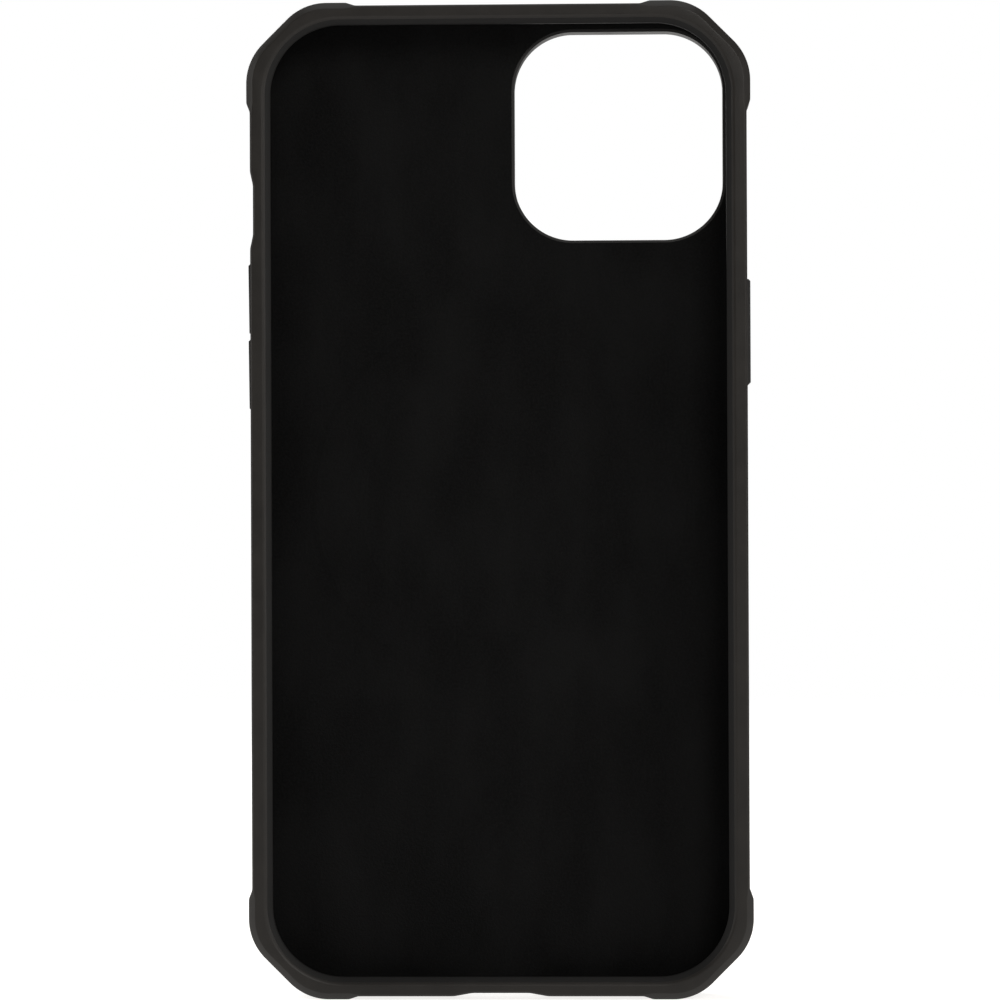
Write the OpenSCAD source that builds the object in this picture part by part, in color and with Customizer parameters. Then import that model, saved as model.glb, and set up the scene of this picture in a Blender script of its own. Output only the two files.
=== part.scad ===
// Rugged phone case: soft core and outer frame round a phone, with a back plate, a decorative
// back panel, a ring of magnets between them, a raised camera guard and three pressing keys.

/* [Phone it fits] */
// Width of the phone's body
phone_w = 71.5; // [66:0.1:78]
// Height of the phone's body
phone_h = 146.7; // [140:0.1:162]
// Thickness of the phone's body beside its camera
phone_t = 7.65; // [7.2:0.05:8.6]
// Clear gap left round the phone on every side
phone_gap = 0.1; // [0.05:0.05:0.2]
// Corner radius of the space for the phone
bay_r = 12; // [11.5:0.25:13]

/* [Walls] */
// Wall of the soft core
core_t = 0.8; // [0.7:0.05:1]
// Wall of the outer frame along the long sides
side_t = 1; // [0.9:0.05:1.3]
// Wall of the outer frame along the top and bottom edges
end_t = 0.8; // [0.7:0.05:1]
// Height of the lip in front of the screen
lip_h = 1.2; // [0.9:0.1:1.6]
// How far the lip reaches in over the screen
lip_reach = 1.225; // [0.9:0.025:1.5]
// Thickness of the soft lining
lining_t = 0.4; // [0.3:0.05:0.6]
// Thickness of the back plate
plate_t = 1.2; // [1.1:0.05:1.6]
// Thickness of the decorative back panel
panel_t = 0.65; // [0.5:0.05:1]
// Thickness of the adhesive sheet under the panel
glue_t = 0.15; // [0.1:0.05:0.2]
// Height of the camera guard above the panel
guard_h = 1.6; // [1.2:0.1:2.2]

/* [Corner bumpers] */
// How far the bumpers stand out from the long sides
bump_side = 0.6; // [0.3:0.05:0.8]
// How far the bumpers stand out from the top and bottom edges
bump_end = 0.55; // [0.3:0.05:0.8]
// Length of each bumper, measured from the corner of the outer box
bump_len = 15.2; // [14.8:0.1:17]
// Length of the slope at each end of a bumper
bump_slope = 1.4; // [0.6:0.1:2]
// Leg of the slanted face across each corner
bump_leg = 8.7; // [7.5:0.1:8.8]
// Radius where the slanted face meets the sides
bump_r = 8.5; // [6:0.1:9.5]
// Bevel of the bumpers along the front
bump_bevel = 1.06; // [0.5:0.02:1.1]

/* [Keys] */
// Length of each volume key
volume_len = 10.9; // [9:0.1:11]
// Length of the power key
power_len = 16.2; // [12:0.1:18]
// Height of the volume up key above the middle of the case
volume_up_y = 30.9; // [30.9:0.1:32]
// Height of the volume down key above the middle of the case
volume_down_y = 19.4; // [15:0.1:19.4]
// Height of the power key above the middle of the case
power_y = 25.3; // [15:0.1:35]
// Width of each key cap
key_w = 4; // [3:0.1:4.6]
// How far the keys stand out from the side
key_out = 0.55; // [0.4:0.05:0.6]
// How far a key travels
key_travel = 0.35; // [0.2:0.05:0.35]
// Slant at the upper end of the volume keys and the lower end of the power key
key_slant = 0.5; // [0.2:0.05:0.5]
// How far the volume keys lean back at their lower ends
volume_lean = 0.12; // [0:0.02:0.2]

/* [Openings] */
// Side of the camera opening
camera_w = 32; // [28:0.5:32.5]
// Corner radius of the camera opening
camera_r = 9; // [8.5:0.5:10]
// Distance from the phone's edges to the middle of the camera opening
camera_in = 17.5; // [17:0.25:18.5]
// Length of the charging port opening
port_len = 12.6; // [10:0.2:14]
// Width of the charging port opening
port_w = 6.4; // [5:0.1:6.6]
// Length of each speaker slot
speaker_len = 11; // [8:0.5:12]
// Width of each speaker slot
speaker_w = 2.4; // [1.6:0.1:3]
// Length of the opening over the mute switch
mute_len = 9.4; // [8.8:0.1:10]
// Width of the opening over the mute switch
mute_w = 5; // [4.6:0.1:5.4]
// Height of the mute switch above the middle of the case
mute_y = 44.1; // [43:0.1:46]

/* [Magnets] */
// Outer diameter of the magnet ring
ring_od = 54; // [50:0.5:56]
// Inner diameter of the magnet ring
ring_id = 46; // [42:0.5:47]
// Number of magnets in the ring
ring_count = 18; // [12:1:24]
// Thickness of the magnets
magnet_t = 0.6; // [0.4:0.05:0.6]

/* [Hidden] */
$fn = 96;
past = 2;            // how far a cutter runs past the face it opens

// Everything is drawn with the case lying on its back: x across, y up its length and z towards
// the screen, with the middle of the case at the origin. stand() then sets it on its bottom edge.
bay_w = phone_w + 2 * phone_gap;
bay_h = phone_h + 2 * phone_gap;
bay_t = phone_t + phone_gap;
depth = lip_h + bay_t + lining_t + plate_t + glue_t + panel_t + guard_h;
front_z = depth / 2;
glass_z = front_z - lip_h;
floor_z = glass_z - bay_t;
plate_z = floor_z - lining_t;
glue_z = plate_z - plate_t;
panel_z = glue_z - glue_t;
back_z = panel_z - panel_t;
guard_z = back_z - guard_h;
middle_z = (glass_z + floor_z) / 2;

// Outer frame
body_w = bay_w + 2 * (core_t + side_t);
body_h = bay_h + 2 * (core_t + end_t);
body_r = bay_r + 1.5;
full_w = body_w + 2 * bump_side;
full_h = body_h + 2 * bump_end;
bump_far = [full_w / 2, full_h / 2];
bump_tangent = bump_leg + bump_r * tan(22.5);
bump_run = bump_slope + 0.5; // how far the bumpers run on into the frame, past their full width
bump_blend = 0.005;  // the flats lie this far inside the arcs, so that the two cross cleanly
bump_arcs = [bump_far - [bump_r, bump_tangent], bump_far - [bump_tangent, bump_r]];
front_edge = 0.3;    // bevel round the front between the bumpers
back_edge = 0.6;     // bevel round the back
back_rim = 0.6;      // how far the frame reaches in round the back panel
hood_t = 0.3;        // thickness of the frame where it covers the core's front edge
ridge_in = phone_gap; // the ridge of the lip lies over the edge of the phone
lip_edge = 0.4;      // thickness left at the lip's free edge
slope_h = lip_h - lip_edge;
hood_in = ridge_in + lip_reach * hood_t / slope_h;

// Shallow scoops in the outside of the frame
port_scoop = [8.8, 14.2, 0.5];  // length at the bottom, length at the top, depth
mute_scoop = [7.6, 11.7, 0.45];

// Keys: distances from the middle of the case
key_face_x = body_w / 2 + key_out;
key_stop_x = body_w / 2 - 0.65;
wing_t = 0.33;       // thickness of the wings that hold a key in
wing_w = key_w + 1.6;
wing_x = key_stop_x - 0.02 - wing_t;
key_round = 0.15;    // slant at the plainer end of each volume key
pad_base_t = 0.2;
pad_t = 0.4;
pad_w = 3.1;
pad_short = 1;       // how much shorter a pad is than its key
key_gap = 0.12;      // clearance round the keys
pocket_x = wing_x - key_travel - 0.05;

// Camera guard
camera_x = phone_w / 2 - camera_in;
camera_y = phone_h / 2 - camera_in;
neck_t = 0.8;
collar_t = 2.3;
collar_edge = 0.5;
trim_in = 0.7;       // from the opening to the trim
trim_w = 0.9;
trim_t = 0.5;
trim_low = 0.1;      // how far the trim lies below the guard's crest
panel_gap = 0.1;
guard_z1 = guard_z + trim_low + trim_t;

// Magnets
groove_gap = 0.15;
carrier_t = plate_t - 0.3 - magnet_t;
magnet_space = 2.4;  // angle between two magnets, in degrees
bar_w = 4;
bar_len = 12;
bar_y = -36;

// Corner pads
pad_arc = [8, 82];
corner_pad_t = 0.5;
corner_pad_z = [-1.5, 4.5];

module stand() {
    translate([0, 0, full_h / 2]) rotate([90, 0, 0]) children();
}

module rounded_rect(w, h, r) {
    square([w - 2 * r, h], center = true);
    square([w, h - 2 * r], center = true);
    for (x = [-1, 1] * (w / 2 - r), y = [-1, 1] * (h / 2 - r)) translate([x, y]) circle(r);
}

// A block from z0 to z1 whose outline is w by h with corners of radius r, grown by g0 at z0
// and by g1 at z1
module block(w, h, r, g0, g1, z0, z1) {
    if (g0 == g1) translate([0, 0, z0])
        linear_extrude(z1 - z0) rounded_rect(w + 2 * g0, h + 2 * g0, r + g0);
    else {
        rotate([90, 0, 0]) linear_extrude(h - 2 * r, center = true) taper(w / 2, g0, g1, z0, z1);
        rotate([90, 0, 90]) linear_extrude(w - 2 * r, center = true) taper(h / 2, g0, g1, z0, z1);
        for (x = [-1, 1] * (w / 2 - r), y = [-1, 1] * (h / 2 - r))
            translate([x, y, z0]) cylinder(h = z1 - z0, r1 = r + g0, r2 = r + g1);
    }
}

module taper(half, g0, g1, z0, z1) {
    polygon([[-half - g0, z0], [half + g0, z0], [half + g1, z1], [-half - g1, z1]]);
}

// A block that follows the outline of the space for the phone
module bay_block(g0, g1, z0, z1) {
    block(bay_w, bay_h, bay_r, g0, g1, z0, z1);
}

module at_camera() {
    translate([camera_x, camera_y, 0]) children();
}

module camera_block(grow, z0, z1) {
    at_camera() block(camera_w, camera_w, camera_r, grow, grow, z0, z1);
}

// Half of a bumper's section, from x = inner to its outer face at x = outer
module bumper_section(inner, outer) {
    polygon([[inner, back_z - past], [outer - back_edge, back_z - past], [outer - back_edge, back_z],
        [outer, back_z + back_edge], [outer, front_z - bump_bevel], [outer - bump_bevel, front_z],
        [outer - bump_bevel, front_z + past], [inner, front_z + past]]);
}

// A straight run of bumper, len long in +y
module bumper_run(len) {
    translate([0, len]) rotate([90, 0, 0]) linear_extrude(len) bumper_section(-1, bump_r - bump_blend);
}

// The bumper in the top right corner
module bumper() {
    slant_len = bump_leg * sqrt(2) - 2 * bump_r * tan(22.5);
    side_len = bump_len + bump_run - bump_tangent;
    slope = atan(bump_side / bump_slope);
    difference() {
        union() {
            for (arc = bump_arcs) translate(arc) rotate_extrude() bumper_section(0, bump_r);
            translate(bump_arcs[0]) rotate(45) bumper_run(slant_len);
            translate(bump_arcs[0] - [0, side_len]) bumper_run(side_len);
            translate(bump_arcs[1]) rotate(90) bumper_run(side_len);
            translate([0, 0, back_z - past]) linear_extrude(front_z - back_z + 2 * past)
                polygon([bump_arcs[0], bump_arcs[1], bump_arcs[1] - [side_len, 0], bump_arcs[0] - [0, side_len]]);
        }
        translate(bump_far - [0, bump_len]) bumper_slope(-slope);
        translate(bump_far - [bump_len, 0]) bumper_slope(90 + slope);
    }
}

// A cutter whose face slopes down from a bumper to the side
module bumper_slope(turn) {
    rotate(turn) translate([0, -bump_len / 2, -depth]) cube([bump_len, bump_len, 2 * depth]);
}

module frame_body() {
    block(body_w, body_h, body_r, -back_edge, -back_edge, back_z - past, back_z);
    block(body_w, body_h, body_r, -back_edge, 0, back_z, back_z + back_edge);
    block(body_w, body_h, body_r, 0, 0, back_z + back_edge, front_z - front_edge);
    block(body_w, body_h, body_r, 0, -front_edge, front_z - front_edge, front_z);
    block(body_w, body_h, body_r, -front_edge, -front_edge, front_z, front_z + past);
}

// A cutter from z = 0 upwards that trims the whole frame flat
module trim_block() {
    linear_extrude(2 * past) square([full_w + past, full_h + past], center = true);
}

// A scoop with slanted ends, cut down from y = 0
module scoop(s) {
    translate([0, 0, -depth]) linear_extrude(2 * depth)
        polygon([[-s[0] / 2, -s[2]], [s[0] / 2, -s[2]], [s[1] / 2, 0], [s[1] / 2, past],
            [-s[1] / 2, past], [-s[1] / 2, 0]]);
}

// A cutter through a long side from x = x0 outwards, len along the side and w across it
module side_slot(side, y, x0, x1, len, w, r) {
    mirror([side < 0 ? 1 : 0, 0, 0]) translate([x0, y, middle_z])
        rotate([90, 0, 90]) linear_extrude(x1 - x0) rounded_rect(len, w, r);
}

// A cutter through the bottom edge
module end_slot(x, len, w, r) {
    translate([x, -bay_h / 2 + past, middle_z])
        rotate([90, 0, 0]) linear_extrude(2 * past + core_t + end_t) rounded_rect(len, w, r);
}

module wall_openings() {
    end_slot(0, port_len, port_w, 2.4);
    for (side = [-1, 1]) end_slot(side * 16.5, speaker_len, speaker_w, speaker_w / 2 - 0.01);
    side_slot(-1, mute_y, bay_w / 2 - past, full_w / 2 + past, mute_len, mute_w, 1.2);
}

// The pocket that a key's wings travel in
module key_pocket(side, y, len) {
    side_slot(side, y, pocket_x, key_stop_x, len + 2 * key_gap, wing_w + 2 * key_gap, 0.3);
}

module each_key_pocket() {
    key_pocket(-1, volume_up_y, volume_len);
    key_pocket(-1, volume_down_y, volume_len);
    key_pocket(1, power_y, power_len);
}

module key_window(side, y, len) {
    side_slot(side, y, key_stop_x - past / 2, full_w / 2 + past, len + 2 * key_gap, key_w + 2 * key_gap, 0.3);
}

module pad_window(side, y, len) {
    slot_len = len - pad_short + 4 * key_gap;
    side_slot(side, y, bay_w / 2 - past, pocket_x + past / 10, slot_len, pad_w + 4 * key_gap, 0.3);
}

module outer_frame() {
    color("#2b2a29") stand() difference() {
        union() {
            frame_body();
            for (m = [0, 1], n = [0, 1]) mirror([m, 0, 0]) mirror([0, n, 0]) bumper();
        }
        translate([0, 0, front_z]) trim_block();
        translate([0, 0, back_z - 2 * past]) trim_block();
        bay_block(core_t, core_t, glue_z, front_z - hood_t);
        bay_block(-back_rim, -back_rim, back_z - past, glue_z + past / 2);
        bay_block(-hood_in, -ridge_in, front_z - hood_t, front_z);
        translate([0, -body_h / 2, 0]) rotate([0, 0, 180]) scoop(port_scoop);
        translate([-body_w / 2, mute_y, 0]) rotate([0, 0, 90]) scoop(mute_scoop);
        wall_openings();
        each_key_pocket();
        key_window(-1, volume_up_y, volume_len);
        key_window(-1, volume_down_y, volume_len);
        key_window(1, power_y, power_len);
        for (m = [0, 1], n = [0, 1]) mirror([m, 0, 0]) mirror([0, n, 0]) corner_pad();
    }
}

module soft_core() {
    color("#1f1e1d") stand() difference() {
        bay_block(core_t, core_t, plate_z, front_z - hood_t);
        bay_block(0, 0, plate_z - past, glass_z);
        bay_block(-ridge_in - lip_reach, -ridge_in - lip_reach, glass_z - past, front_z - slope_h);
        bay_block(-ridge_in - lip_reach, -hood_in, front_z - slope_h, front_z - hood_t);
        wall_openings();
        each_key_pocket();
        pad_window(-1, volume_up_y, volume_len);
        pad_window(-1, volume_down_y, volume_len);
        pad_window(1, power_y, power_len);
    }
}

module ring(r0, r1, z0, z1) {
    translate([0, 0, z0]) difference() {
        cylinder(h = z1 - z0, r = r1);
        translate([0, 0, -past]) cylinder(h = z1 - z0 + 2 * past, r = r0);
    }
}

module back_plate() {
    color("#242424") stand() difference() {
        bay_block(core_t, core_t, glue_z, plate_z);
        camera_block(neck_t, glue_z - past, plate_z + past);
        ring(ring_id / 2 - groove_gap, ring_od / 2 + groove_gap, glue_z - past, glue_z + magnet_t + carrier_t);
        translate([0, bar_y, glue_z]) cube([bar_w + 2 * groove_gap, bar_len + 2 * groove_gap, 2 * magnet_t],
            center = true);
    }
}

// A sheet of the panel's outline, clear of the camera guard
module panel_sheet(z0, z1) {
    difference() {
        bay_block(-back_rim, -back_rim, z0, z1);
        camera_block(collar_t + panel_gap, z0 - past, z1 + past);
    }
}

module panel_adhesive() {
    color("#8f8a7c") stand() panel_sheet(panel_z, glue_z);
}

module back_panel() {
    color("#1c1d1f") stand() panel_sheet(back_z, panel_z);
}

module inner_lining() {
    color("#161617") stand() difference() {
        bay_block(-0.1, -0.1, plate_z, floor_z);
        camera_block(neck_t / 2, plate_z - past, floor_z + past);
    }
}

module camera_guard() {
    color("#272625") stand() difference() {
        union() {
            camera_block(neck_t, glue_z, plate_z);
            intersection() {
                camera_block(collar_t, back_z, glue_z);
                bay_block(-back_rim, -back_rim, back_z, glue_z);
            }
            at_camera() {
                block(camera_w, camera_w, camera_r, collar_t, collar_t, guard_z + collar_edge, back_z);
                block(camera_w, camera_w, camera_r, collar_t - collar_edge, collar_t, guard_z,
                    guard_z + collar_edge);
            }
        }
        camera_block(0, guard_z - past, plate_z + past);
        trim_ring(guard_z - past);
    }
}

module trim_ring(z0) {
    difference() {
        camera_block(trim_in + trim_w, z0, guard_z1);
        camera_block(trim_in, z0 - past, guard_z1 + past);
    }
}

module camera_trim() {
    color("#3a3a3c") stand() trim_ring(guard_z + trim_low);
}

// A key whose ends slant by ends[0] at the bottom and ends[1] at the top, and whose face leans
// back by lean at the bottom
module key(side, y, len, ends, lean) {
    half = len / 2;
    low_x = key_face_x - lean;
    color("#2f2e2d") stand() mirror([side < 0 ? 1 : 0, 0, 0]) translate([0, y, middle_z]) {
        translate([0, 0, -key_w / 2]) linear_extrude(key_w)
            polygon([[wing_x, -half], [low_x - ends[0], -half], [low_x, ends[0] - half],
                [key_face_x, half - ends[1]], [key_face_x - ends[1], half], [wing_x, half]]);
        translate([wing_x, -half, -wing_w / 2]) cube([wing_t, len, wing_w]);
    }
}

module volume_key(y) {
    key(-1, y, volume_len, [key_round, key_slant], volume_lean);
}

module power_key() {
    key(1, power_y, power_len, [key_slant, 2 * key_round], 0);
}

module key_pad(side, y, len) {
    base = len - pad_short;
    nub = base - 2;
    color("#141414") stand() mirror([side < 0 ? 1 : 0, 0, 0]) translate([0, y, middle_z]) {
        translate([wing_x - pad_base_t, -base / 2, -pad_w / 2]) cube([pad_base_t, base, pad_w]);
        translate([wing_x - pad_t, -nub / 2, -pad_w / 3]) cube([pad_t - pad_base_t, nub, pad_w * 2 / 3]);
    }
}

module magnet_carrier() {
    z = glue_z + magnet_t;
    color("#d9d6cf") stand() ring(ring_id / 2, ring_od / 2, z, z + carrier_t);
}

module magnet_ring() {
    step = 360 / ring_count;
    color("#b9bcc0") stand() for (i = [0 : ring_count - 1])
        rotate([0, 0, i * step + magnet_space / 2]) translate([0, 0, glue_z])
            rotate_extrude(angle = step - magnet_space)
                translate([ring_id / 2, 0]) square([(ring_od - ring_id) / 2, magnet_t]);
}

module alignment_magnet() {
    color("#b9bcc0") stand() translate([-bar_w / 2, bar_y - bar_len / 2, glue_z])
        cube([bar_w, bar_len, magnet_t]);
}

// The pad in the top right corner
module corner_pad() {
    translate([bay_w / 2 - bay_r, bay_h / 2 - bay_r, corner_pad_z[0]]) rotate([0, 0, pad_arc[0]])
        rotate_extrude(angle = pad_arc[1] - pad_arc[0]) translate([bay_r + core_t, 0])
            square([corner_pad_t, corner_pad_z[1] - corner_pad_z[0]]);
}

module corner_pad_at(x, y) {
    color("#c8502e") stand() mirror([x < 0 ? 1 : 0, 0, 0]) mirror([0, y < 0 ? 1 : 0, 0]) corner_pad();
}

outer_frame();
soft_core();
back_plate();
panel_adhesive();
back_panel();
inner_lining();
camera_guard();
camera_trim();
volume_key(volume_up_y);  // volume_up_key
key_pad(-1, volume_up_y, volume_len);  // volume_up_pad
volume_key(volume_down_y);  // volume_down_key
key_pad(-1, volume_down_y, volume_len);  // volume_down_pad
power_key();
key_pad(1, power_y, power_len);  // power_pad
magnet_carrier();
magnet_ring();
alignment_magnet();
corner_pad_at(-1, 1);  // corner_pad_top_left
corner_pad_at(1, 1);  // corner_pad_top_right
corner_pad_at(-1, -1);  // corner_pad_bottom_left
corner_pad_at(1, -1);  // corner_pad_bottom_right
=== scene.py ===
import math

import bmesh
import bpy
from mathutils import Euler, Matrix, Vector


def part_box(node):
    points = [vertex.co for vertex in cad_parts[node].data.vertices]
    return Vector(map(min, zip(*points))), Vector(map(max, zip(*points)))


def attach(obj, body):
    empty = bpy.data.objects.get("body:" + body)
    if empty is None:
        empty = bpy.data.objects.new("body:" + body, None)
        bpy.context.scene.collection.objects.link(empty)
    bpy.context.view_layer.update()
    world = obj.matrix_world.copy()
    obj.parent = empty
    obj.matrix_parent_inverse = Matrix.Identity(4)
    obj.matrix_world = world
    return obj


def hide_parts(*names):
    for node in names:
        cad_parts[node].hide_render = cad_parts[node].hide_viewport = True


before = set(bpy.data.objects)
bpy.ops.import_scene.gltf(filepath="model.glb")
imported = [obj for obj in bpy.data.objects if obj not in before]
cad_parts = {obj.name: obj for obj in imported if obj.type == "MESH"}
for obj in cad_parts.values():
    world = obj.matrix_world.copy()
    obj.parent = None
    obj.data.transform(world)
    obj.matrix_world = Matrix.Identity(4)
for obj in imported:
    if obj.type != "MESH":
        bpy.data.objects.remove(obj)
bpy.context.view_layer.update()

# A rugged phone case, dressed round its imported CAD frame. Shapes are drawn in the case's own plan,
# in millimetres: x across, y up from the middle of the case and z towards the screen. in_world()
# turns a plan point into metres in the frame, where the screen side faces -Y.

MM = 0.001
frame_low, frame_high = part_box("outer_frame")
_, guard_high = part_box("camera_guard")

# Half sizes across and up, and depths from the screen side (front) to the guard's crest
FULL = (frame_high.x / MM, frame_high.z / 2 / MM)
MIDDLE = FULL[1]
BODY = (37.65, 75.05)
BAY = (35.85, 73.45)
BAY_R = 12.0
FRONT = -frame_low.y / MM
GLASS = 5.275
FLOOR = -2.475
PLATE = -2.875
GLUE = -4.075
PANEL = -4.225
BACK = -frame_high.y / MM
CREST = -guard_high.y / MM
KEY_LEVEL = 1.4

# Lip and walls, as distances out from the bay's outline
RIDGE = -0.1
LIP = -1.325
LIP_EDGE_Z = 5.675
HOOD_T = 0.3
HOOD = RIDGE + (LIP - RIDGE) * HOOD_T / (FRONT - LIP_EDGE_Z)
CORE_T = 0.8
RIM = -0.6
FRONT_EDGE = 0.3
BACK_EDGE = 0.6

# Parting line round the outer face
PARTING_Z = 0.2
PARTING_DEPTH = 0.05

# Corner bumpers
BUMP_LEN = 15.2
BUMP_SLOPE = 1.4
BUMP_R = 8.5
BUMP_LEG = 8.7
BUMP_BEVEL = 1.06
BUMP_TANGENT = BUMP_LEG + BUMP_R * math.tan(math.radians(22.5))
BUMP_ARCS = (
    Vector((FULL[0] - BUMP_R, FULL[1] - BUMP_TANGENT)),
    Vector((FULL[0] - BUMP_TANGENT, FULL[1] - BUMP_R)),
)

# Scoops: half length at the bottom, half length at the top, depth
PORT_SCOOP = (4.4, 7.1, 0.5)
MUTE_SCOOP = (3.8, 5.85, 0.45)
MUTE_Y = 44.1

# Openings: length along the wall, width through the depth, corner radius
PORT = (12.6, 6.4, 2.4)
SPEAKER = (11.0, 2.4, 1.19)
SPEAKER_X = 16.5
MUTE = (9.4, 5.0, 1.2)

# How each opening flares outwards: distance from the middle of the case, growth all round
PORT_FLARE = ((70, 0), (74.1, 0), (74.35, 0.06), (74.6, 0.25), (77, 0.5))
SPEAKER_FLARE = ((70, 0), (74.7, 0), (74.9, 0.05), (75.05, 0.2), (77, 0.3))
MUTE_FLARE = ((34, 0), (36.8, 0), (37.0, 0.05), (37.2, 0.25), (39, 0.6))
KEY_FLARE = ((36.0, 0), (37.5, 0), (37.58, 0.04), (37.65, 0.14), (40, 0.2))

# Keys: distances from the middle of the case
KEY_FACE = 38.2
KEY_STOP = 37.0
WING_X = 36.65
WING_T = 0.33
POCKET_X = 36.25
KEY_W = 4.0
WING_W = 5.6
KEY_GAP = 0.12
KEY_CORNER = 0.3
KEY_EDGE = 0.14
KEY_ROOT = WING_X + 0.05
PAD_W = 3.1
PAD_SHORTER = 1.0
PAD_CUT = ((34, 0), (36.45, 0))
# How the cap's sides round over: distance from the cap's edge, inset of its outline
KEY_CROWN = ((0, 0.16), (0.03, 0.08), (0.09, 0.03), (0.2, 0.004), (0.7, 0.0), (1.3, 0.0))
KEYS = {  # body: side, height above the middle, length, slants at the lower and upper end, lean
    "volume_up": (-1, 30.9, 10.9, (0.15, 0.5), 0.12),
    "volume_down": (-1, 19.4, 10.9, (0.15, 0.5), 0.12),
    "power": (1, 25.3, 16.2, (0.5, 0.3), 0.0),
}

# Camera opening
CAMERA = (18.25, 55.85)
CAMERA_HALF = (16.0, 16.0)
CAMERA_R = 9.0
NECK_T = 0.8
COLLAR_T = 2.3
COLLAR_EDGE = 0.5
TRIM_IN = 0.7
TRIM_W = 0.9
TRIM_Z = (-5.875, -6.375)

# Panel and lining: how their faces round over at the edges, as (depth from the face, inset)
PANEL_SOFT = ((0.12, 0.0), (0.04, 0.03), (0.0, 0.12))
PANEL_GAP = 0.02
COLLAR_GAP = 0.1
LINING_SOFT = ((0.12, 0.0), (0.03, 0.05), (0.0, 0.2))

# The magnets' ring, which shows faintly in the lining: radius, half width of its flat and of its foot
MAGNETS = (25.0, 3.4, 4.4)

# Where most of a noise's values lie, and nearly all of them
SPAN = (0.35, 0.65)
WIDE_SPAN = (0.3, 0.7)

# The four sides in turn: right, top, left and bottom
DIRECTIONS = ((1, 0), (0, 1), (-1, 0), (0, -1))

# Studio, in metres and watts
WORLD_LIGHT = 0.3
FLOOR_GLOW = 0.82
FLOOR_RADII = (0.2, 0.6, 1.4, 2.6)
FLOOR_SIDES = 96
FLOOR_FADE = (0.35, 1.1)
WHITE = (1.0, 1.0, 1.0, 1.0)
WARM_WHITE = (1.0, 0.985, 0.965, 1.0)
LIGHTS = {  # name: place, size, power, colour
    "key": ((0.4, -1.0, 0.62), (0.5, 0.5), 6.0, (1.0, 0.98, 0.95)),
    "side": ((0.95, -0.4, 0.25), (0.25, 0.7), 2.7, (1.0, 0.98, 0.96)),
    "fill": ((-1.0, -0.15, 0.35), (0.3, 0.6), 2.3, (1.0, 0.98, 0.96)),
    "top": ((0.0, 0.15, 1.1), (0.9, 0.9), 2.5, (1.0, 1.0, 1.0)),
    "back": ((-0.6, 0.95, 0.6), (0.7, 0.5), 10.0, (1.0, 0.99, 0.98)),
}

# Camera: sensor in millimetres; distance, width of the view and its shift at the case's front in
# metres; angles
SENSOR = 36.0
EYE_FAR = 0.6
VIEW_WIDTH = 0.15121
VIEW_SIDE = 0.00015
VIEW_UP = -0.00003
EYE_TURN = math.radians(1.89)
EYE_TILT = math.radians(0.49)
EYE_ROLL = math.radians(0.22)
CLIP = (0.01, 20.0)


def in_world(x, y, z):
    return Vector((x * MM, -z * MM, (y + MIDDLE) * MM))


# ---- Outlines ----

def places(run, ramps, step=5.0, fine=0.2, margin=0.6, closest=0.04):
    """Places along a straight run from -run to run, closer together over each ramp (start, end)."""
    found = {-run, run}
    count = math.ceil(2 * run / step)
    found.update(-run + 2 * run * i / count for i in range(count + 1))
    for start, end in ramps:
        length = end - start + 2 * margin
        count = math.ceil(length / fine)
        found.update(start - margin + length * i / count for i in range(count + 1))
    ordered = sorted(t for t in found if -run <= t <= run)
    kept = [ordered[0]]
    for t in ordered[1:-1]:
        if t - kept[-1] > closest and run - t > closest:
            kept.append(t)
    return kept + [ordered[-1]]


def outline(half, radius, centre=(0.0, 0.0), steps=60, ramps=((), (), (), ())):
    """Points round a rounded rectangle with their outward directions: (x, y, nx, ny)."""
    points = []
    for quarter in range(4):
        out = DIRECTIONS[quarter]
        along = DIRECTIONS[(quarter + 1) % 4]
        far = half[quarter % 2]
        run = half[1 - quarter % 2] - radius
        for t in places(run, ramps[quarter]):
            x = centre[0] + out[0] * far + along[0] * t
            y = centre[1] + out[1] * far + along[1] * t
            points.append((x, y, out[0], out[1]))
        middle_x = centre[0] + out[0] * (far - radius) + along[0] * run
        middle_y = centre[1] + out[1] * (far - radius) + along[1] * run
        for i in range(1, steps):
            angle = math.radians(90 * (quarter + i / steps))
            c, s = math.cos(angle), math.sin(angle)
            points.append((middle_x + radius * c, middle_y + radius * s, c, s))
    return points


def frame_ramps():
    """Where each straight run of the frame changes its outer face: right, top, left and bottom."""
    side_end = FULL[1] - BUMP_LEN
    end_end = FULL[0] - BUMP_LEN
    side = [(side_end - BUMP_SLOPE, side_end), (-side_end, BUMP_SLOPE - side_end)]
    end = [(end_end - BUMP_SLOPE, end_end), (-end_end, BUMP_SLOPE - end_end)]
    low, high, _ = MUTE_SCOOP
    mute = [(-MUTE_Y - high, -MUTE_Y - low), (low - MUTE_Y, high - MUTE_Y)]
    low, high, _ = PORT_SCOOP
    port = [(-high, -low), (low, high)]
    return side, end, side + mute, end + port


def ramp(t, soft=0.1):
    """Climbs from 0 to 1 between t = 0 and t = 1, with rounded ends."""
    return (math.hypot(t, soft) - math.hypot(t - 1, soft) + 1) / 2


def from_line(p, a, b):
    """Distance from p to the stretch from a to b."""
    t = max(0.0, min(1.0, (p - a).dot(b - a) / (b - a).length_squared))
    return (p - a.lerp(b, t)).length


def corner_reach(x, y, nx, ny, low=0.5, high=8.0, halvings=40, straight=20.0):
    """How far the bumper's outline lies beyond the bay's along one ray, found by halving a range."""
    start = Vector((abs(x), abs(y)))
    way = Vector((abs(nx), abs(ny)))
    a, b = BUMP_ARCS
    below_a = a - Vector((0, straight))
    beside_b = b - Vector((straight, 0))
    for _ in range(halvings):
        middle = (low + high) / 2
        p = start + way * middle
        off = min(from_line(p, a, b), from_line(p, a, below_a), from_line(p, b, beside_b))
        if off < BUMP_R:
            low = middle
        else:
            high = middle
    return low


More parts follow.
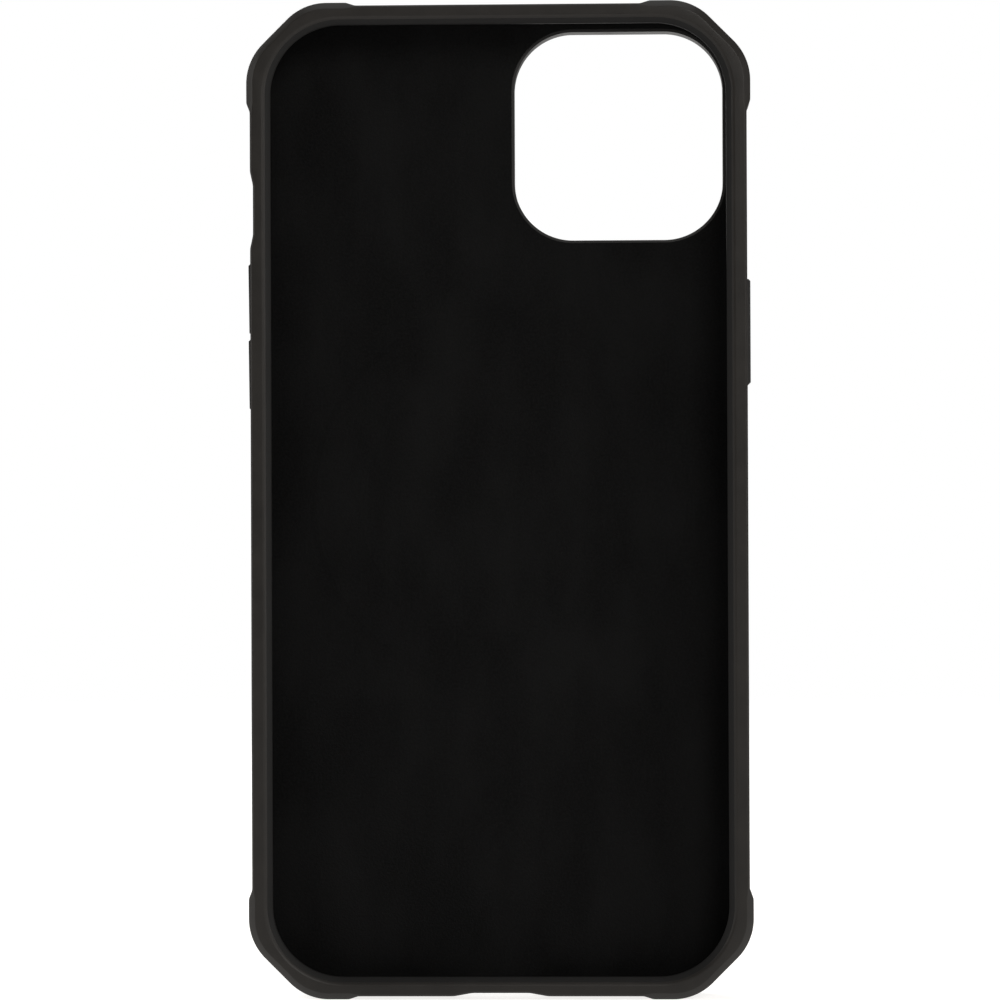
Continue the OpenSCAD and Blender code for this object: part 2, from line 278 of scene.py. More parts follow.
def frame_edge(x, y, nx, ny):
    """How far the frame reaches out from the bay's outline here, and the bevel on its front."""
    if nx and ny:
        return corner_reach(x, y, nx, ny), BUMP_BEVEL
    axis = 0 if nx else 1
    along = abs(y) if nx else abs(x)
    body = BODY[axis] - BAY[axis]
    bump = FULL[axis] - BODY[axis]
    share = ramp((along - (FULL[1 - axis] - BUMP_LEN - BUMP_SLOPE)) / BUMP_SLOPE)
    reach = body + bump * share
    if nx < 0:
        reach -= scoop_depth(MUTE_SCOOP, abs(y - MUTE_Y))
    if ny < 0:
        reach -= scoop_depth(PORT_SCOOP, abs(x))
    return reach, FRONT_EDGE + (BUMP_BEVEL - FRONT_EDGE) * share


def scoop_depth(scoop, off):
    """How deep a scoop is at a distance along the wall from its middle."""
    low, high, depth = scoop
    return depth * (1 - ramp((off - low) / (high - low)))


def fillet(corners, steps=4, most=0.48):
    """A closed outline through corners (across, deep, radius), each one rounded by its radius.
    No rounding takes up more than this share of the side that it starts on."""
    points = []
    for i, (across, deep, radius) in enumerate(corners):
        p = Vector((across, deep))
        if not radius:
            points.append(p)
            continue
        before = Vector(corners[i - 1][:2]) - p
        after = Vector(corners[(i + 1) % len(corners)][:2]) - p
        half = before.angle(after) / 2
        back = min(radius / math.tan(half), most * before.length, most * after.length)
        centre = p + (before.normalized() + after.normalized()).normalized() * back / math.cos(half)
        first = p + before.normalized() * back - centre
        last = p + after.normalized() * back - centre
        turn = first.angle_signed(last)
        for k in range(steps + 1):
            angle = -turn * k / steps
            c, s = math.cos(angle), math.sin(angle)
            points.append(centre + Vector((first.x * c - first.y * s, first.x * s + first.y * c)))
    return points


# ---- Meshes ----

def finish_mesh(name, mesh, angle=28.0):
    """Smooths the mesh but for its sharp edges and puts it in the scene."""
    for polygon in mesh.polygons:
        polygon.use_smooth = True
    mesh.set_sharp_from_angle(angle=math.radians(angle))
    piece = bpy.data.objects.new(name, mesh)
    bpy.context.scene.collection.objects.link(piece)
    return piece


def evened(piece, weight=80):
    """Weights the normals by face area, so that long flat faces stay flat beside their bevels."""
    modifier = piece.modifiers.new("even_normals", "WEIGHTED_NORMAL")
    modifier.keep_sharp = True
    modifier.weight = weight
    return piece


def add_wall(work, low, high):
    """Faces between two closed loops of the same number of vertices."""
    for i in range(len(low)):
        on = (i + 1) % len(low)
        work.faces.new((low[i], low[on], high[on], high[i]))


def sweep(name, stations, section):
    """A closed tube: section(station) gives (out, z) points and their rubbing and painted highlight at
    each, round the stations.
    """
    points, wear_and_highlight_values = [], []
    for station in stations:
        x, y, nx, ny = station
        for out, z, wear_and_highlight in section(station):
            points.append(in_world(x + nx * out, y + ny * out, z))
            wear_and_highlight_values.append(wear_and_highlight)
    size = len(points) // len(stations)
    faces = []
    for i in range(len(stations)):
        here = i * size
        there = (i + 1) % len(stations) * size
        for k in range(size):
            on = (k + 1) % size
            faces.append((here + k, there + k, there + on, here + on))
    mesh = bpy.data.meshes.new(name)
    mesh.from_pydata(points, [], faces)
    mesh.attributes.new("wear_and_highlight", "FLOAT", "POINT").data.foreach_set("value", wear_and_highlight_values)
    turn_outwards(mesh)
    return mesh


def turn_outwards(mesh):
    """Makes every face of a closed mesh look outwards."""
    work = bmesh.new()
    work.from_mesh(mesh)
    bmesh.ops.recalc_face_normals(work, faces=work.faces)
    work.to_mesh(mesh)
    work.free()


def ring(path, out, z):
    """An outline's points, moved out and set at one depth."""
    return [in_world(x + nx * out, y + ny * out, z) for x, y, nx, ny in path]


def bevelled_sheet(name, outer, inner, layers):
    """A flat sheet with a hole. Each layer is (z, how far the outer outline lies out, the hole's)."""
    work = bmesh.new()
    walls = []
    for z, outer_out, inner_out in layers:
        loops = []
        for path, out in ((outer, outer_out), (inner, inner_out)):
            loops.append([work.verts.new(p) for p in ring(path, out, z)])
        walls.append(loops)
    for below, above in zip(walls, walls[1:]):
        for low, high in zip(below, above):
            add_wall(work, low, high)
    for loops in (walls[0], walls[-1]):
        edges = []
        for loop in loops:
            for i in range(len(loop)):
                pair = (loop[i], loop[(i + 1) % len(loop)])
                edges.append(work.edges.get(pair) or work.edges.new(pair))
        bmesh.ops.triangle_fill(work, use_beauty=True, edges=edges)
    bmesh.ops.recalc_face_normals(work, faces=work.faces)
    mesh = bpy.data.meshes.new(name)
    work.to_mesh(mesh)
    work.free()
    return mesh


def stack(name, rings):
    """A closed mesh through rings of the same number of points, flat at both ends."""
    work = bmesh.new()
    add_stack(work, rings)
    mesh = bpy.data.meshes.new(name)
    work.to_mesh(mesh)
    work.free()
    return mesh


def add_stack(work, rings):
    """Adds a closed solid through rings of points to the mesh under construction."""
    loops = [[work.verts.new(p) for p in points] for points in rings]
    for low, high in zip(loops, loops[1:]):
        add_wall(work, low, high)
    work.faces.new(loops[0])
    work.faces.new(loops[-1])
    bmesh.ops.recalc_face_normals(work, faces=work.faces)


def slot_ring(place, size, grow, steps=8, least=0.005):
    """One ring of a slot's cutter. place(u, v) gives the point, u along the wall and v in depth."""
    length, width, corner = size
    half = (length / 2 + grow, width / 2 + grow)
    radius = min(corner + grow, half[1] - least)
    return [place(x, y) for x, y, _, _ in outline(half, radius, steps=steps)]


def side_cutter(work, side, y, size, depths):
    """A cutter through a long side; depths are (distance from the middle, growth)."""
    add_stack(work, [slot_ring(lambda u, v: in_world(side * x, y + u, KEY_LEVEL + v), size, grow)
                     for x, grow in depths])


def end_cutter(work, x, size, depths):
    """A cutter through the bottom wall; depths are (distance below the middle, growth)."""
    add_stack(work, [slot_ring(lambda u, v: in_world(x + u, -y, KEY_LEVEL + v), size, grow)
                     for y, grow in depths])


def cut(mesh, add_cutters):
    """Takes the cutters' solids out of the mesh."""
    work = bmesh.new()
    add_cutters(work)
    cutter_mesh = bpy.data.meshes.new("cutters")
    work.to_mesh(cutter_mesh)
    work.free()
    whole = bpy.data.objects.new("whole", mesh)
    cutters = bpy.data.objects.new("cutters", cutter_mesh)
    for thing in (whole, cutters):
        bpy.context.scene.collection.objects.link(thing)
    modifier = whole.modifiers.new("cut", "BOOLEAN")
    modifier.operation = "DIFFERENCE"
    modifier.solver = "EXACT"
    modifier.use_self = True
    modifier.object = cutters
    graph = bpy.context.evaluated_depsgraph_get()
    result = bpy.data.meshes.new_from_object(whole.evaluated_get(graph))
    for thing in (whole, cutters):
        bpy.data.objects.remove(thing)
    return result


# ---- Openings ----

def wall_openings(work):
    """Cutters for the charging port, the two speaker slots and the mute switch."""
    end_cutter(work, 0, PORT, PORT_FLARE)
    for side in (-1, 1):
        end_cutter(work, side * SPEAKER_X, SPEAKER, SPEAKER_FLARE)
    side_cutter(work, -1, MUTE_Y, MUTE, MUTE_FLARE)


def key_openings(work, through_core):
    """Cutters for each key's pocket and window, and through the core for its pad."""
    gap = 2 * KEY_GAP
    for side, y, length, _, _ in KEYS.values():
        pocket = (length + gap, WING_W + gap, KEY_CORNER)
        window = (length + gap, KEY_W + gap, KEY_CORNER)
        side_cutter(work, side, y, pocket, ((POCKET_X, 0), (KEY_STOP, 0)))
        side_cutter(work, side, y, window, KEY_FLARE)
        if through_core:
            pad_window = (length - PAD_SHORTER + 2 * gap, PAD_W + 2 * gap, KEY_CORNER)
            side_cutter(work, side, y, pad_window, PAD_CUT)


def frame_openings(work):
    wall_openings(work)
    key_openings(work, through_core=False)


def core_openings(work):
    wall_openings(work)
    key_openings(work, through_core=True)


# ---- Pieces ----

def worn_and_highlit(points, spots):
    """Adds to each (out, z) point its rubbing and painted highlight, near the spots (out, z, size)."""
    rows = []
    for p in points:
        wear_and_highlight = 0.0
        for out, z, size in spots:
            wear_and_highlight = max(wear_and_highlight, math.exp(-((p.x - out) ** 2 + (p.y - z) ** 2) / size ** 2))
        rows.append((p.x, p.y, wear_and_highlight))
    return rows


def frame_section(station):
    """The frame's wall and the flat front of its lip, from the ridge round to the panel's seat."""
    reach, bevel = frame_edge(*station)
    # The bumpers' wider bevel has softer edges
    soft = 0.16 + 0.1 * (bevel - FRONT_EDGE)
    corners = [
        (HOOD, FRONT - HOOD_T, 0.015),
        (RIDGE, FRONT, 0.7),
        (reach - bevel, FRONT, soft),
        (reach, FRONT - bevel, soft),
        (reach, PARTING_Z + PARTING_DEPTH, 0),
        (reach - PARTING_DEPTH, PARTING_Z, 0),
        (reach, PARTING_Z - PARTING_DEPTH, 0),
        (reach, BACK + BACK_EDGE, 0.2),
        (reach - BACK_EDGE, BACK, 0.2),
        (RIM, BACK, 0.12),
        (RIM, GLUE, 0),
        (CORE_T, GLUE, 0),
        (CORE_T, FRONT - HOOD_T, 0),
    ]
    # Spots on the ridge and the bevels' edges are painted paler: partly rubbing, partly a painted
    # highlight
    spots = [
        (RIDGE, FRONT, 0.22),
        (reach - bevel, FRONT, 0.16),
        (reach, FRONT - bevel, 0.2),
        (reach, BACK + BACK_EDGE, 0.2),
        (reach - BACK_EDGE, BACK, 0.2),
    ]
    return worn_and_highlit(fillet(corners), spots)


def core_section(_):
    """The core's thin wall and the bevelled lip inside the ridge."""
    corners = [
        (HOOD, FRONT - HOOD_T, 0.015),
        (LIP, LIP_EDGE_Z, 0.24),
        (LIP, GLASS, 0.08),
        (0.0, GLASS, 0.1),
        (0.0, PLATE, 0),
        (CORE_T, PLATE, 0),
        (CORE_T, FRONT - HOOD_T, 0),
    ]
    return worn_and_highlit(fillet(corners), [(HOOD, FRONT - HOOD_T, 0.15)])


def guard_section(_):
    """The guard's neck and its collar, with a groove for the trim in the crest."""
    corners = [
        (0.0, PLATE, 0),
        (0.0, CREST, 0.16),
        (TRIM_IN, CREST, 0.05),
        (TRIM_IN, TRIM_Z[0], 0),
        (TRIM_IN + TRIM_W, TRIM_Z[0], 0),
        (TRIM_IN + TRIM_W, CREST, 0.05),
        (COLLAR_T - COLLAR_EDGE, CREST, 0.12),
        (COLLAR_T, CREST + COLLAR_EDGE, 0.2),
        (COLLAR_T, GLUE, 0),
        (NECK_T, GLUE, 0),
        (NECK_T, PLATE, 0),
    ]
    spots = [
        (0.0, CREST, 0.12),
        (COLLAR_T - COLLAR_EDGE, CREST, 0.15),
        (COLLAR_T, CREST + COLLAR_EDGE, 0.15),
    ]
    return worn_and_highlit(fillet(corners), spots)


def trim_section(_):
    """The trim's flat band with a fine line turned into its face."""
    low, high = TRIM_Z
    middle = TRIM_IN + TRIM_W / 2
    corners = [
        (TRIM_IN, low, 0),
        (TRIM_IN, high, 0.09),
        (middle - 0.14, high, 0.03),
        (middle - 0.08, high + 0.05, 0.03),
        (middle + 0.08, high + 0.05, 0.03),
        (middle + 0.14, high, 0.03),
        (TRIM_IN + TRIM_W, high, 0.09),
        (TRIM_IN + TRIM_W, low, 0),
    ]
    return worn_and_highlit(fillet(corners), [])


def collar_trimmer(work, wide=20.0, spare=0.5):
    """A thick band round the panel's seat, so that the collar ends where the frame's rim begins."""
    seat = outline(BAY, BAY_R, steps=16)
    loops = []
    for z in (BACK, GLUE + spare):
        for out in (wide, RIM):
            loops.append([work.verts.new(p) for p in ring(seat, out, z)])
    low_wide, low_tight, high_wide, high_tight = loops
    add_wall(work, low_wide, high_wide)
    add_wall(work, high_wide, high_tight)
    add_wall(work, high_tight, low_tight)
    add_wall(work, low_tight, low_wide)
    bmesh.ops.recalc_face_normals(work, faces=work.faces)


def dress(piece, body, node, finish):
    """Gives the piece its finish and its body, and lets it stand for a CAD node."""
    piece.data.materials.clear()
    piece.data.materials.append(finish)
    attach(piece, body)
    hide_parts(node)


def make_frame(stations, finish):
    mesh = sweep("outer_frame", stations, frame_section)
    mesh = cut(mesh, frame_openings)
    piece = evened(finish_mesh("frame_shell", mesh))
    dress(piece, "shell", "outer_frame", finish)


def make_core(stations, finish):
    mesh = sweep("soft_core", stations, core_section)
    mesh = cut(mesh, core_openings)
    piece = evened(finish_mesh("core_liner", mesh))
    dress(piece, "shell", "soft_core", finish)


def make_guard(stations, finish):
    mesh = cut(sweep("camera_guard", stations, guard_section), collar_trimmer)
    piece = evened(finish_mesh("guard_ring", mesh))
    dress(piece, "shell", "camera_guard", finish)


def make_trim(stations, finish):
    piece = finish_mesh("trim_band", sweep("camera_trim", stations, trim_section))
    dress(piece, "shell", "camera_trim", finish)


def make_panel(bay, camera, finish):
    """A sheet with a soft edge, open towards the corner where the guard's collar reaches its edge."""
    edge = RIM - PANEL_GAP
    hole = COLLAR_T + COLLAR_GAP
    # The notch's cutter runs past both faces
    above = PANEL + 1.0
    below = BACK - 0.3
    sheet = [ring(bay, edge, PANEL)]
    notch = [ring(camera, hole, above)]
    for deep, by in PANEL_SOFT:
        sheet.append(ring(bay, edge - by, BACK + deep))
        notch.append(ring(camera, hole + by, BACK + deep))
    notch.append(ring(camera, hole + 0.2, below))
    mesh = cut(stack("back_panel", sheet), lambda work: add_stack(work, notch))
    piece = evened(finish_mesh("woven_panel", mesh))
    dress(piece, "shell", "back_panel", finish)


def make_lining(bay, camera, finish):
    """The sheet on the bay's floor, with the size that it was cut to."""
    edge = RIDGE
    hole = NECK_T / 2
    layers = [(PLATE, edge, hole)]
    layers += [(FLOOR - deep, edge - by, hole + by) for deep, by in LINING_SOFT]
    piece = finish_mesh("lining_sheet", bevelled_sheet("inner_lining", bay, camera, layers))
    dress(piece, "shell", "inner_lining", finish)


def inset(points, by):
    """Moves a closed outline's points inwards along their normals."""
    moved = []
    for i, p in enumerate(points):
        way = (points[(i + 1) % len(points)] - points[i - 1]).normalized()
        moved.append(p - Vector((way.y, -way.x)) * by)
    return moved


def key_cap(side, y, length, ends, lean):
    """Rings of a cap: its outline seen from the front, from one long edge to the other."""
    half = length / 2
    low_face = KEY_FACE - lean
    face = fillet([
        (KEY_ROOT, -half, 0),
        (low_face - ends[0], -half, KEY_EDGE),
        (low_face, ends[0] - half, KEY_EDGE),
        (KEY_FACE, half - ends[1], KEY_EDGE),
        (KEY_FACE - ends[1], half, KEY_EDGE),
        (KEY_ROOT, half, 0),
    ], steps=5)
    crown = list(KEY_CROWN) + [(KEY_W - z, by) for z, by in reversed(KEY_CROWN)]
    rings = []
    for z, by in crown:
        level = KEY_LEVEL - KEY_W / 2 + z
        rings.append([in_world(side * p.x, y + p.y, level) for p in inset(face, by)])
    return rings


def key_wing(side, y, length):
    """Rings of the wing that keeps a key behind its window."""
    half = length / 2
    wing = fillet([
        (-half, -WING_W / 2, KEY_CORNER),
        (half, -WING_W / 2, KEY_CORNER),
        (half, WING_W / 2, KEY_CORNER),
        (-half, WING_W / 2, KEY_CORNER),
    ])
    faces = (WING_X, WING_X + WING_T)
    return [[in_world(side * x, y + p.x, KEY_LEVEL + p.y) for p in wing] for x in faces]


def make_key(body, finish):
    """A cap that shows in its window, and the wing behind it."""
    side, y, length, ends, lean = KEYS[body]
    work = bmesh.new()
    add_stack(work, key_cap(side, y, length, ends, lean))
    add_stack(work, key_wing(side, y, length))
    mesh = bpy.data.meshes.new(body)
    work.to_mesh(mesh)
    work.free()
    piece = evened(finish_mesh(body + "_cap", mesh, angle=35.0))
    dress(piece, body, body + "_key", finish)


# ---- Finishes ----

class Finish:
    """A material under construction: short calls add nodes and link them."""

    def __init__(self, name, **settings):
        self.material = bpy.data.materials.new(name)
        self.material.use_nodes = True
        self.tree = self.material.node_tree
        self.shader = self.tree.nodes["Principled BSDF"]
        for socket, value in settings.items():
            self.shader.inputs[socket.replace("_", " ")].default_value = value
        self.place = self.add("ShaderNodeTexCoord").outputs["Object"]

    def add(self, kind, **properties):
        made = self.tree.nodes.new(kind)
        for key, value in properties.items():
            setattr(made, key, value)
        return made

    def feed(self, socket, value):
        if isinstance(value, bpy.types.NodeSocket):
            self.tree.links.new(value, socket)
        else:
            socket.default_value = value

    def math(self, operation, first, second=0.0, third=0.0):
        made = self.add("ShaderNodeMath", operation=operation)
        for socket, value in zip(made.inputs, (first, second, third)):
            self.feed(socket, value)
        return made.outputs[0]

    def noise(self, size, detail, stretch=None, rough=0.5):
        """Noise whose features are about size mm across."""
        made = self.add("ShaderNodeTexNoise")
        made.inputs["Scale"].default_value = 1 / (size * MM)
        made.inputs["Detail"].default_value = detail
        made.inputs["Roughness"].default_value = rough
        self.feed(made.inputs["Vector"], self.scaled(stretch) if stretch else self.place)
        return made.outputs["Fac"]

    def cells(self, size):
        """Rounded cells about size mm across, 0 in their middles."""
        made = self.add("ShaderNodeTexVoronoi", feature="SMOOTH_F1")
        made.inputs["Scale"].default_value = 1 / (size * MM)
        self.feed(made.inputs["Vector"], self.place)
        return made.outputs["Distance"]

    def scaled(self, by):
        made = self.add("ShaderNodeVectorMath", operation="MULTIPLY")
        self.feed(made.inputs[0], self.place)
        made.inputs[1].default_value = by
        return made.outputs[0]

    def between(self, value, low, high, start=0.0, end=1.0):
        """Runs from low to high while the value runs from start to end, and stays there beyond."""
        made = self.add("ShaderNodeMapRange")
        limits = {"From Min": start, "From Max": end, "To Min": low, "To Max": high}
        for key, amount in limits.items():
            made.inputs[key].default_value = amount
        self.feed(made.inputs["Value"], value)
        return made.outputs["Result"]

    def blend(self, share, first, second):
        """The first colour at share 0, the second at share 1."""
        made = self.add("ShaderNodeMix", data_type="RGBA")
        self.feed(made.inputs["Factor"], share)
        self.feed(made.inputs["A"], first)
        self.feed(made.inputs["B"], second)
        return made.outputs["Result"]

    def colour(self, value):
        self.feed(self.shader.inputs["Base Color"], value)

    def rough(self, value):
        self.feed(self.shader.inputs["Roughness"], value)

    def bump(self, layers):
        """Layers of relief: (height from 0 to 1, depth in mm, strength)."""
        normal = None
        for height, depth, strength in layers:
            made = self.add("ShaderNodeBump")
            made.inputs["Distance"].default_value = depth * MM
            made.inputs["Strength"].default_value = strength
            self.feed(made.inputs["Height"], height)
            if normal:
                self.feed(made.inputs["Normal"], normal)
            normal = made.outputs["Normal"]
        self.feed(self.shader.inputs["Normal"], normal)

    def wear_and_highlight(self):
        """Rubbing and painted highlight on the surface, from the mesh's own attribute."""
        made = self.add("ShaderNodeAttribute", attribute_name="wear_and_highlight")
        return made.outputs["Fac"]


def grey(level, warm=0.0):
    """A linear colour, slightly warm if warm is above 0."""
    return (level * (1 + warm), level, level * (1 - warm), 1.0)


def moulded(name, tones, roughness, grain, depth, specular, rub_and_highlight=0.0, warm=0.05):
    """Moulded rubber or plastic with flow marks, edges painted paler (partly rubbing, partly a painted
    highlight) and a grain so many mm wide and deep.
    """
    dark, light = tones
    finish = Finish(name, Specular_IOR_Level=specular)
    cloud = finish.noise(14.0, 4.0)
    smudge = finish.noise(3.0, 5.0, rough=0.62)
    fine = finish.noise(grain, 3.0)
    pits = finish.cells(grain * 1.6)
    mixed = finish.math("MULTIPLY_ADD", cloud, 0.6, finish.math("MULTIPLY", smudge, 0.4))
    share = finish.between(mixed, 0.0, 1.0, *SPAN)
    tone = finish.blend(share, grey(dark, warm), grey(light, warm))
    speck = finish.between(finish.noise(0.5, 1.0), 0.0, 0.5, 0.66, 0.76)
    tone = finish.blend(speck, tone, grey(light * 1.5, warm))
    # Edges are painted paler near the spots: partly real rubbing, partly a painted highlight on the
    # ridge and bevels
    rubbed_and_highlit = finish.math("MULTIPLY", finish.wear_and_highlight(), finish.between(smudge, 0.4, 1.0, *WIDE_SPAN))
    tone = finish.blend(finish.math("MULTIPLY", rubbed_and_highlit, rub_and_highlight), tone, grey(light * 1.9, warm))
    finish.colour(tone)
    base = finish.between(mixed, roughness - 0.08, roughness + 0.08, *SPAN)
    finish.rough(finish.math("MULTIPLY_ADD", rubbed_and_highlit, -0.16 * min(1.0, rub_and_highlight * 2), base))
    finish.bump([(smudge, 0.02, 0.25), (pits, depth, 0.5), (fine, depth, 0.6)])
    return finish.material


def woven(name, tow=1.9):
    """Twill of flat fibre tows, each over two and under two, beneath a satin coat."""
    finish = Finish(name, Specular_IOR_Level=0.3, Coat_Weight=0.18, Coat_Roughness=0.16)
    split = finish.add("ShaderNodeSeparateXYZ")
    finish.feed(split.inputs[0], finish.place)
    across = finish.math("DIVIDE", split.outputs["X"], tow * MM)
    up = finish.math("DIVIDE", split.outputs["Z"], tow * MM)
    column = finish.math("FLOOR", across)
    row = finish.math("FLOOR", up)
    turn = finish.math("FLOORED_MODULO", finish.math("ADD", column, row), 4.0)
    over = finish.math("LESS_THAN", turn, 1.5)
    crowns = []
    for place in (across, up):
        off = finish.math("SUBTRACT", finish.math("FRACT", place), 0.5)
        square = finish.math("MULTIPLY", off, off)
        crowns.append(finish.math("MULTIPLY_ADD", square, -4.0, 1.0))
    upright = finish.math("MULTIPLY", over, crowns[0])
    level = finish.math("MULTIPLY", finish.math("SUBTRACT", 1.0, over), crowns[1])
    height = finish.math("ADD", upright, level)
    warp = finish.noise(0.16, 2.0, (1.0, 1.0, 0.06))
    weft = finish.noise(0.16, 2.0, (0.06, 1.0, 1.0))
    strands = finish.blend(over, weft, warp)
    # Painted reflection: upright tows are painted paler than level ones of the same fibre, and paler
    # streaks along the fibres are painted glints
    tows = finish.blend(over, grey(0.012), grey(0.03))
    tows_with_painted_glints = finish.blend(finish.between(strands, 0.0, 0.7, 0.3, 0.8), tows, grey(0.045))
    # Painted shade: darker towards each tow's edge, in the creases between the tows
    finish.colour(finish.blend(finish.between(height, 0.75, 0.0), tows_with_painted_glints, grey(0.006)))
    finish.rough(finish.between(strands, 0.3, 0.5, *WIDE_SPAN))
    finish.bump([(height, 0.09, 0.7), (strands, 0.02, 0.5)])
    return finish.material


def microfibre(name):
    """Short dense nap, a little paler where it lies over, with the magnets' ring showing faintly."""
    finish = Finish(name, Specular_IOR_Level=0.05, Sheen_Weight=0.008, Sheen_Roughness=0.5)
    middle, flat, foot = MAGNETS
    split = finish.add("ShaderNodeSeparateXYZ")
    finish.feed(split.inputs[0], finish.place)
    height = finish.math("SUBTRACT", split.outputs["Z"], MIDDLE * MM)
    squares = [finish.math("POWER", part, 2.0) for part in (split.outputs["X"], height)]
    radius = finish.math("SQRT", finish.math("ADD", *squares))
    off = finish.math("ABSOLUTE", finish.math("SUBTRACT", radius, middle * MM))
    imprint = finish.between(off, 1.0, 0.0, flat * MM, foot * MM)
    nap = finish.noise(0.35, 4.0, rough=0.7)
    lay = finish.noise(9.0, 3.0, (1.0, 1.0, 0.45))
    tone = finish.blend(finish.between(lay, 0.0, 1.0, *SPAN), grey(0.002), grey(0.004))
    tone = finish.blend(finish.between(nap, 0.0, 0.6, 0.4, 0.8), tone, grey(0.009))
    finish.colour(tone)
    finish.rough(finish.between(nap, 0.82, 0.98))
    finish.bump([(imprint, 0.12, 0.8), (lay, 0.1, 0.3), (nap, 0.06, 0.7)])
    return finish.material


def metal(name, tone, roughness, line):
    """Anodised or plated metal with fine drawn lines, line mm across, and small scratches."""
    finish = Finish(name, Metallic=1.0)
    lines = finish.noise(line, 3.0, (1.0, 1.0, 0.12))
    cloud = finish.noise(5.0, 3.0)
    scratch = finish.noise(1.4, 2.0, (0.2, 1.0, 3.0))
    share = finish.between(cloud, 0.0, 1.0, *SPAN)
    finish.colour(finish.blend(share, grey(tone * 0.85), grey(tone)))
    mixed = finish.math("MULTIPLY_ADD", lines, 0.5, finish.math("MULTIPLY", cloud, 0.5))
    finish.rough(finish.between(mixed, roughness - 0.08, roughness + 0.08, *WIDE_SPAN))
    finish.bump([(lines, 0.01, 0.4), (finish.between(scratch, 0.0, 1.0, 0.66, 0.7), 0.01, 0.3)])
    return finish.material


def glue(name):
    """Pale acrylic adhesive with small bubbles."""
    finish = Finish(name, Specular_IOR_Level=0.4, Subsurface_Weight=0.1)
    cloud = finish.noise(8.0, 4.0)
    bubbles = finish.between(finish.cells(1.2), 1.0, 0.0, 0.1, 0.25)
    finish.colour(finish.blend(cloud, (0.34, 0.31, 0.25, 1.0), (0.42, 0.39, 0.32, 1.0)))
    finish.rough(finish.between(cloud, 0.3, 0.45, *WIDE_SPAN))
    finish.bump([(bubbles, 0.03, 0.4), (cloud, 0.05, 0.2)])
    return finish.material


def foam(name, tone):
    """Impact-absorbing foam: small open cells, with painted shade that darkens each cell from its
    middle towards its edge.
    """
    finish = Finish(name, Specular_IOR_Level=0.3)
    cells = finish.cells(0.35)
    cloud = finish.noise(3.0, 3.0)
    # Painted shade: a darker copy of the foam's tone, towards each cell's edge
    low = tuple(c * 0.6 for c in tone[:3]) + (1.0,)
    finish.colour(finish.blend(finish.between(cells, 1.0, 0.0, 0.2, 0.7), low, tone))
    finish.rough(finish.between(cloud, 0.75, 0.9, *WIDE_SPAN))
    finish.bump([(cells, 0.06, 0.7), (cloud, 0.05, 0.2)])
    return finish.material


def refinish(node, finish):
    """Gives a CAD node that stays as it is a finish of its own."""
    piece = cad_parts[node]
    if not piece.material_slots:
        piece.data.materials.append(finish)
    for slot in piece.material_slots:
        slot.material = finish


# ---- Surroundings ----

def disc(name, radii, sides):
    """A flat disc: rings of vertices round one in the middle."""
    work = bmesh.new()
    centre = work.verts.new((0, 0, 0))
    loops = []
    for radius in radii:
        loop = []
        for i in range(sides):
            angle = 2 * math.pi * i / sides
            loop.append(work.verts.new((radius * math.cos(angle), radius * math.sin(angle), 0)))
        loops.append(loop)
    first = loops[0]
    for i in range(sides):
        work.faces.new((centre, first[i], first[(i + 1) % sides]))
    for inner, outer in zip(loops, loops[1:]):
        add_wall(work, outer, inner)
    mesh = bpy.data.meshes.new(name)
    work.to_mesh(mesh)
    work.free()
    return mesh


def paper(name):
    """Pale paper that glows a little and fades out far from the case."""
    finish = Finish(name, Specular_IOR_Level=0.1, Emission_Strength=FLOOR_GLOW,
                    Emission_Color=WARM_WHITE)
    cloud = finish.noise(60.0, 3.0)
    finish.colour(finish.blend(cloud, grey(0.46, 0.01), grey(0.5, 0.01)))
    finish.rough(finish.between(cloud, 0.8, 0.9))
    away = finish.add("ShaderNodeVectorMath", operation="LENGTH")
    finish.feed(away.inputs[0], finish.place)
    alpha = finish.between(away.outputs["Value"], 1.0, 0.0, *FLOOR_FADE)
    finish.feed(finish.shader.inputs["Alpha"], alpha)
    return finish.material


def make_floor():
    mesh = disc("floor", FLOOR_RADII, FLOOR_SIDES)
    mesh.materials.append(paper("floor_paper"))
    floor = bpy.data.objects.new("floor", mesh)
    bpy.context.scene.collection.objects.link(floor)


def make_world():
    """White to the eye, but a dimmer and even light for everything else."""
    world = bpy.data.worlds.new("studio")
    bpy.context.scene.world = world
    world.use_nodes = True
    tree = world.node_tree
    lit = tree.nodes["Background"]
    lit.inputs["Color"].default_value = WARM_WHITE
    lit.inputs["Strength"].default_value = WORLD_LIGHT
    seen = tree.nodes.new("ShaderNodeBackground")
    seen.inputs["Color"].default_value = WHITE
    seen.inputs["Strength"].default_value = 1.0
    path = tree.nodes.new("ShaderNodeLightPath")
    mix = tree.nodes.new("ShaderNodeMixShader")
    tree.links.new(path.outputs["Is Camera Ray"], mix.inputs[0])
    tree.links.new(lit.outputs[0], mix.inputs[1])
    tree.links.new(seen.outputs[0], mix.inputs[2])
    tree.links.new(mix.outputs[0], tree.nodes["World Output"].inputs["Surface"])


def make_light(name, place, size, power, colour):
    """A rectangular soft light that looks at the middle of the case."""
    light = bpy.data.lights.new(name, "AREA")
    light.shape = "RECTANGLE"
    light.size, light.size_y = size
    light.energy = power
    light.color = colour
    lamp = bpy.data.objects.new(name, light)
    bpy.context.scene.collection.objects.link(lamp)
    lamp.location = place
    aim = Vector((0, 0, MIDDLE * MM)) - Vector(place)
    lamp.rotation_mode = "QUATERNION"
    lamp.rotation_quaternion = aim.to_track_quat("-Z", "Y")


